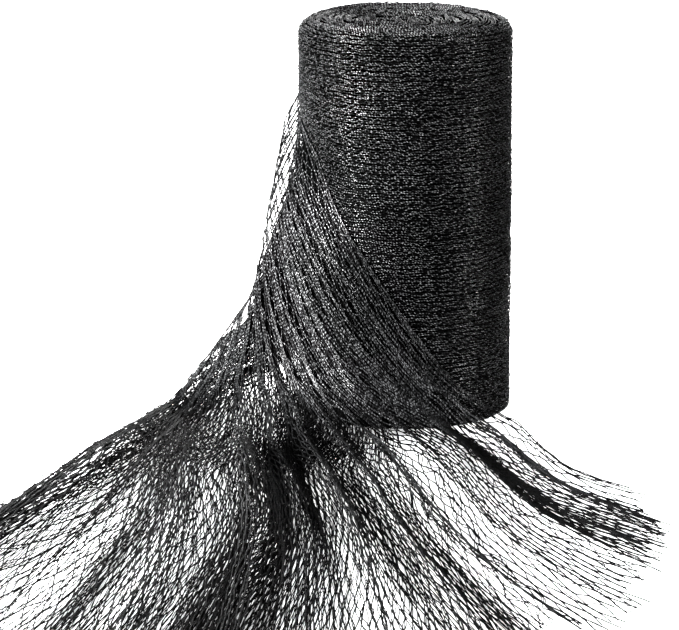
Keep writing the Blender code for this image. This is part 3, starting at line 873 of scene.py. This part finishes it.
def smooth_line(stations):
    """A smooth line through stations that lie unevenly far apart."""
    gaps = np.linalg.norm(np.diff(stations, axis=0), axis=1)
    slopes = np.diff(stations, axis=0) / gaps[:, None]
    headings = np.empty_like(stations)
    headings[1:-1] = (stations[2:] - stations[:-2]) / (gaps[1:] + gaps[:-1])[:, None]
    headings[0] = 1.5 * slopes[0] - 0.5 * headings[1]
    headings[-1] = 1.5 * slopes[-1] - 0.5 * headings[-2]
    share = np.linspace(0.0, 1.0, LINE_STEPS, endpoint=False)[:, None]
    pieces = []
    for k, gap in enumerate(gaps):
        pieces.append((2.0 * share ** 3 - 3.0 * share ** 2 + 1.0) * stations[k]
                      + (share ** 3 - 2.0 * share ** 2 + share) * gap * headings[k]
                      + (3.0 * share ** 2 - 2.0 * share ** 3) * stations[k + 1]
                      + (share ** 3 - share ** 2) * gap * headings[k + 1])
    return np.concatenate(pieces + [stations[-1:]])


def settled(line):
    """The line moved clear of the roll and up onto the floor."""
    turn, reach = from_axis(line[:, 0], line[:, 1])
    gap = ROOT_GAP + (ROLL_GAP - ROOT_GAP) * ease(run_length(line) / ROOT_LENGTH)
    least = roll_radius(turn, np.clip(line[:, 2], 0.0, ROLL_HEIGHT)) + gap
    out = np.maximum(reach, least) / reach
    return np.column_stack([line[:, 0] * out, line[:, 1] * out, np.maximum(line[:, 2], 0.0)])


def fold_rise(rib, along):
    """How far the folds lift the net, at a rib and at shares of the length."""
    lying = ease_between(along, *FOLDS_SETTLE)
    fade_out = 1.0 - FOLDS_FLATTEN * ease_between(along, FOLDS_FADE, 1.0)
    rise = np.zeros_like(along)
    for fold in FOLDS:
        share = ease(1.0 - abs(rib - fold["rib"]) / fold["half"])
        rise += share * (fold["hanging"] + (fold["lying"] - fold["hanging"]) * lying)
    return rise * ease(along / FOLDS_START) * fade_out


class NetSurface:
    """The loose end's surface as a fine grid over ribs and shares of the length."""

    RIB_STEPS = 400
    LENGTH_STEPS = 220

    def __init__(self):
        stations = rib_stations()
        along = np.linspace(0.0, 1.0, self.LENGTH_STEPS + 1)
        # For each place of the grid: the point, the direction that is up from the net, and its rise.
        self.grid = np.zeros((self.RIB_STEPS + 1, self.LENGTH_STEPS + 1, 7))
        self.lengths = []
        for k in range(self.RIB_STEPS + 1):
            rib = LAST_RIB * k / self.RIB_STEPS
            line = settled(smooth_line(between_ribs(stations, rib)))
            length = run_length(line)
            edge = math.sin(END_WAVES[0] * rib) * math.cos(END_WAVES[1] * rib)
            ragged = 1.0 - END_RAGGED * (0.5 + 0.5 * edge)
            wanted = length[-1] * ragged * ((1.0 - ROW_GROWTH) * along + ROW_GROWTH * along ** 2)
            points = np.column_stack([np.interp(wanted, length, line[:, axis]) for axis in range(3)])
            upright = ease(points[:, 2] / UPWARD_BELOW)[:, None]
            self.grid[k, :, :3] = points
            self.grid[k, :, 3:6] = unit(np.column_stack([unit(points[:, :2]) * upright, 1.0 - upright]))
            self.grid[k, :, 6] = fold_rise(rib, along)
            self.lengths.append(length[-1] * ragged)

    def at(self, rib, along):
        """Points, lift directions and rises at ribs and shares of the length."""
        across = np.clip(rib / LAST_RIB, 0.0, 1.0) * self.RIB_STEPS
        down = np.clip(along, 0.0, 1.0) * self.LENGTH_STEPS
        i = np.minimum(across.astype(int), self.RIB_STEPS - 1)
        j = np.minimum(down.astype(int), self.LENGTH_STEPS - 1)
        p = (across - i)[..., None]
        q = (down - j)[..., None]
        found = ((1.0 - p) * (1.0 - q) * self.grid[i, j] + p * (1.0 - q) * self.grid[i + 1, j]
                 + (1.0 - p) * q * self.grid[i, j + 1] + p * q * self.grid[i + 1, j + 1])
        return found[..., :3], found[..., 3:6], found[..., 6]


# ---------------------------------------------------------------- the loose strands
# Where the net hangs, its strands close up into cords with dark gaps between them: how many cords to
# a layer, how far the outermost layer's strands and the inner ones close up, and how the cords drift.
CORDS = dict(count=60, outer=1.00, inner=0.40, drift=1.8,
             waves=folding(seed=47, count=6, slowest=4.0, fastest=14.0, drift=5.0))
# Wide pleats and narrow slits between the strands: how many ribs they shift them.
PLEATS = dict(shift=0.040, waves=folding(seed=41, count=9, slowest=9.0, fastest=24.0, drift=7.0))
SLITS = dict(shift=0.017, waves=folding(seed=43, count=12, slowest=34.0, fastest=62.0, drift=20.0))


class Gathering:
    """Where the strands of one layer lie: a share across the layer becomes a rib."""

    RIB_STEPS = 960

    def __init__(self, layer, kind, dice):
        self.hanging_folded = HANGING_FOLDED[kind]
        self.corded = CORDS[kind]
        self.aside = dice.uniform(0.0, HANGING_ASIDE)
        self.rib = np.linspace(0.0, LAST_RIB, self.RIB_STEPS + 1)
        thick = looked_up(FAN_LEVELS, "rib", kind, self.rib)
        for bunch in FAN_BUNCHES:
            thick = thick + bunch[kind] * np.exp(-((self.rib - bunch["rib"]) / bunch["half"]) ** 2)
        total = np.concatenate([[0.0], np.cumsum(0.5 * (thick[1:] + thick[:-1]))])
        self.shares = total / total[-1]
        self.sway = layer["sway"]
        self.swaying = waves(dice, count=5, fastest=(3.0, 9.0))

    def drawn(self, share, along):
        """Ribs at shares across the layer and shares of the length, before the folds shift them."""
        turns = FULL_TURN * CORDS["count"]
        drifting = CORDS["drift"] * ripple(CORDS["waves"], share * LAST_RIB + self.aside, along)
        corded = share - self.corded * np.sin(turns * share + drifting) / turns
        hanging = looked_up(HANGING, "share", "rib", corded)
        end = np.interp(share, self.shares, self.rib)
        middle = looked_up(SLANTS, "end", "middle", end)
        lying = end + (middle - end) * ease_between(along, SLANT_RUN[1], SLANT_RUN[0])
        return hanging + (lying - hanging) * ease_between(along, *FAN_SPREAD)

    def rib_at(self, share, home, along):
        """Ribs at shares across the layer, kept near those at the share that the strand belongs to."""
        middle = self.drawn(np.full_like(share, home), along)
        found = middle + np.clip(self.drawn(share, along) - middle, -SWING_MOST, SWING_MOST)
        pinned = ease(np.minimum(found, LAST_RIB - found) / FOLD_PINNED)
        folded = looked_up(FAN_FOLDED, "rib", "share", found)
        spread = ease_between(along, *FAN_SPREAD)
        across = found + self.aside * (1.0 - spread)
        shift = sum(kind["shift"] * ripple(kind["waves"], across, along) for kind in (PLEATS, SLITS))
        shift = shift * (self.hanging_folded + (folded - self.hanging_folded) * spread)
        return found + pinned * (shift + self.sway * ripple(self.swaying, found, along))


def mesh_rows(length):
    """Shares of the length, the half meshes up to each of them, and how long these are there."""
    along = np.linspace(0.0, 1.0, ROW_STEPS + 1)
    half = looked_up(MESH_LENGTHS, "along", "half", along)
    pace = length * (1.0 - ROW_GROWTH + 2.0 * ROW_GROWTH * along) / half
    rows = np.concatenate([[0.0], np.cumsum(0.5 * (pace[1:] + pace[:-1]) * np.diff(along))])
    return along, rows, half


class NetLayer:
    """One layer of the loose end, strand by strand."""

    def __init__(self, layer, surface):
        self.layer, self.surface = layer, surface
        self.dice = dice = np.random.default_rng(layer["seed"])
        kind = "inner" if layer["deep"] else "outer"
        self.yarn = INNER_YARN if layer["deep"] else LOOSE_YARN
        self.gathering = Gathering(layer, kind, dice)
        self.along, self.rows, halves = mesh_rows(float(np.mean(surface.lengths)))
        rows = np.arange(int(self.rows[-1]) + 1)
        self.half = np.interp(rows, self.rows, halves)
        self.swings = looked_up(MESH_LENGTHS, "along", kind, np.interp(rows, self.rows, self.along))
        columns = np.arange(layer["strands"] + 1)
        knots = (len(columns), len(rows))
        phase = dice.uniform(-0.5, 0.5)
        self.knot_across = columns[:, None] + dice.normal(0.0, KNOT_STRAY[0], knots)
        self.knot_along = rows[None, :] + phase + dice.normal(0.0, KNOT_STRAY[1], knots)
        self.relief = waves(dice, count=8, fastest=(16.0, 14.0))
        self.fill = waves(dice, count=6, fastest=(25.0, 7.0))

    def knot(self, strand, row):
        """A strand's knot in a row: how far across and along it is, and the strand's side there."""
        column = strand + (strand + row) % 2
        across = strand + 0.5 + (self.knot_across[column, row] - strand - 0.5) * self.swings[row]
        return across, self.knot_along[column, row], 1.0 if column == strand else -1.0

    def course(self, strand):
        """A strand's way through the meshes: strands across, rows along, and its side at a knot."""
        points = []
        last = len(self.half) - 1
        for row in range(last + 1):
            here, at, side = self.knot(strand, row)
            if self.half[row] <= LONG_MESH:
                hold = 0.5 * KNOT_LENGTH / self.half[row]
                points += [(here, at - hold, side), (here, at + hold, side)]
                continue
            points.append((here, at, side))
            if row < last:
                there, then, _ = self.knot(strand, row + 1)
                for part, swing in CURVED:
                    points.append((here + (there - here) * swing, at + (then - at) * part,
                                   side * (1.0 - 2.0 * swing)))
        return np.array(points).T

    def tuck_start(self, rib):
        """Where a strand comes from under the winding, as a share of the length."""
        start = float(looked_up(TUCKED, "rib", "along", rib)) + self.dice.uniform(-TUCK_STRAY, TUCK_STRAY)
        return start + self.dice.uniform(0.0, TUCK_DEEPER) if self.layer["deep"] else start

    def height(self, rib, along, rise):
        """How far a strand lies off the surface, where the folds lift the net by its rise."""
        # Strands in a fold fill it from inside; the outermost layer lies over it.
        if self.layer["deep"]:
            rise = rise * (FOLD_FILLED[0] + FOLD_FILLED[1] * limited_ripple(self.fill, rib, along))
        relief = NET_RELIEF * (1.0 + limited_ripple(self.relief, rib, along * RELIEF_RUN))
        pressed = ease((along + ROOT_PRESSED[0]) / ROOT_PRESSED[1])
        opened = ROOT_LIFT + (1.0 - ROOT_LIFT) * ease(along / ROOT_RISE)
        return (self.layer["lift"] + rise + relief) * pressed * opened

    def drawn_in(self, line, rib, along, tucked):
        """The line drawn in to the roll near the upper selvage and where it is tucked, off the floor."""
        turn, reach = from_axis(line[:, 0], line[:, 1])
        snug = roll_radius(turn, np.clip(line[:, 2], 0.0, ROLL_HEIGHT)) + SNUG["gap"]
        snug = snug + self.layer["lift"] * SNUG["lift"]
        upright = ease((line[:, 2] - SNUG["above"]) / SNUG["run"])
        leaving = 1.0 - (1.0 - ease(rib / SNUG["ribs"])) * upright
        if tucked is not None:
            leaving = leaving * ease((along - tucked) / TUCK_RUN)
        line[:, :2] *= ((snug + (reach - snug) * leaving) / reach)[:, None]
        line[:, 2] = np.maximum(line[:, 2], self.yarn * NET_CLEAR)
        return line

    def laid(self, strand):
        """One strand as it lies: its line, the directions up from the net along it, and its radius."""
        across, course, side = self.course(strand)
        count = self.layer["strands"]
        along = np.interp(course, self.rows, self.along)
        rib = self.gathering.rib_at(np.clip(across / count, 0.0, 1.0), (strand + 0.5) / count, along)
        rooted = self.layer["rooted"] and strand % ROOTED_PAIR < 2
        tucked = None if rooted else self.tuck_start(rib[TUCK_POINT])
        stop = 1.0 - self.dice.uniform(0.0, END_FRAYED)
        kept = (along >= (tucked or 0.0)) & (along <= stop)
        rib, along, side = rib[kept], along[kept], side[kept]
        point, lift, rise = self.surface.at(rib, along)
        beside = unit(np.cross(lift, unit(np.gradient(point, axis=0))))
        line = point + lift * self.height(rib, along, rise)[:, None]
        line = line + beside * (side * KNOT_ASIDE * self.yarn)[:, None]
        thick = 1.0 + (SLACK_YARN - 1.0) * ease_between(along, *FAN_SPREAD)
        radius = self.yarn * thick * self.dice.uniform(*NET_UNEVEN)
        return self.drawn_in(line, rib, along, tucked), lift, radius


def net_layer(layer, surface, finish):
    """One layer of the loose end as a piece, made of its strands."""
    net = NetLayer(layer, surface)
    strands, yarn = layer["strands"], net.yarn
    bundle = Bundle()
    for strand in range(strands):
        line, lift, radius = net.laid(strand)
        bundle.add(line, lift, radius)
    piece = bundle.mesh_object(layer["name"], finish)
    return piece


# ---------------------------------------------------------------- the studio's parts
def studio_floor():
    """A plain pale floor that lights the net less than it is seen."""
    bpy.ops.object.select_all(action="DESELECT")
    bpy.ops.mesh.primitive_plane_add(size=FLOOR_SIZE)
    floor = bpy.context.object
    floor.name = "studio_floor"
    paint, tree, shader = new_finish("studio_floor")
    seen = node(tree, "ShaderNodeLightPath", (-500, 0)).outputs["Is Camera Ray"]
    shade = node(tree, "ShaderNodeMix", (-260, 0), data_type="RGBA")
    feed(tree, shade, {"Factor": seen, 6: FLOOR_SHADES[0], 7: FLOOR_SHADES[1]})
    glow = maths(tree, (-260, -200), "MULTIPLY", seen, FLOOR_GLOW)
    feed(tree, shader, {"Base Color": shade.outputs[2], "Roughness": 0.9, "Specular IOR Level": 0.1,
                        "Emission Color": (1.0, 1.0, 1.0, 1.0), "Emission Strength": glow})
    floor.data.materials.append(paint)


def studio_air():
    """White air around the stage that lights the net less than it is seen."""
    world = bpy.data.worlds.new("studio_air")
    world.use_nodes = True
    tree = world.node_tree
    seen = node(tree, "ShaderNodeLightPath", (-500, 0)).outputs["Is Camera Ray"]
    strength = ranged(tree, (-260, 0), seen, {"To Min": AIR_STRENGTHS[0], "To Max": AIR_STRENGTHS[1]})
    feed(tree, tree.nodes["Background"], {"Color": (1.0, 1.0, 1.0, 1.0), "Strength": strength})
    bpy.context.scene.world = world


def studio_lamps():
    """The soft lamps, aimed at the product."""
    for lamp in LAMPS:
        light = bpy.data.lights.new(lamp["name"], "AREA")
        light.shape = "RECTANGLE"
        light.size = lamp["wide"]
        light.size_y = lamp["high"]
        light.energy = lamp["watts"]
        thing = new_object(lamp["name"], light)
        thing.location = lamp["place"]
        x, y, z = LAMPS_AIM - np.array(lamp["place"])
        thing.rotation_euler = (math.atan2(math.hypot(x, y), -z), 0.0, math.atan2(y, x) - math.pi / 2.0)


def studio_camera():
    """The camera, far off with a long lens, looking down a little."""
    eye = bpy.data.cameras.new("camera")
    eye.lens = CAMERA["lens"]
    eye.sensor_width = CAMERA["sensor"]
    camera = new_object("camera", eye)
    camera.location = CAMERA["place"]
    camera.rotation_euler = (math.radians(CAMERA["tilt"]), 0.0, 0.0)
    bpy.context.scene.camera = camera
    bpy.context.scene.view_settings.view_transform = "Standard"


# ---------------------------------------------------------------- everything
def main():
    """The studio, the yarns, the wound roll and the loose end."""
    for part in (studio_floor, studio_air, studio_lamps, studio_camera):
        part()
    group = yarn_group()
    yarn = {name: yarn_finish(name, group) for name in YARNS}

    wound = [
        wound_core(core_finish()),
        wound_top(yarn["wound_yarn"]),
        wound_foot(yarn["wound_yarn"]),
    ]
    for wrap in WRAPS:
        # The deeper wraps get the darker painted-shade copy of the yarn.
        wound.append(wrap_rings(wrap, yarn["wound_yarn_shaded" if wrap["deep"] else "wound_yarn"]))
    for piece in wound:
        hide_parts("wound_roll")
        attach(piece, "root")

    surface = NetSurface()
    for layer in LAYERS:
        # The inner layers get the darker painted-shade copy of the yarn.
        piece = net_layer(layer, surface, yarn["loose_yarn_shaded" if layer["deep"] else "loose_yarn"])
        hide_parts("loose_net")
        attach(piece, "root")


main()
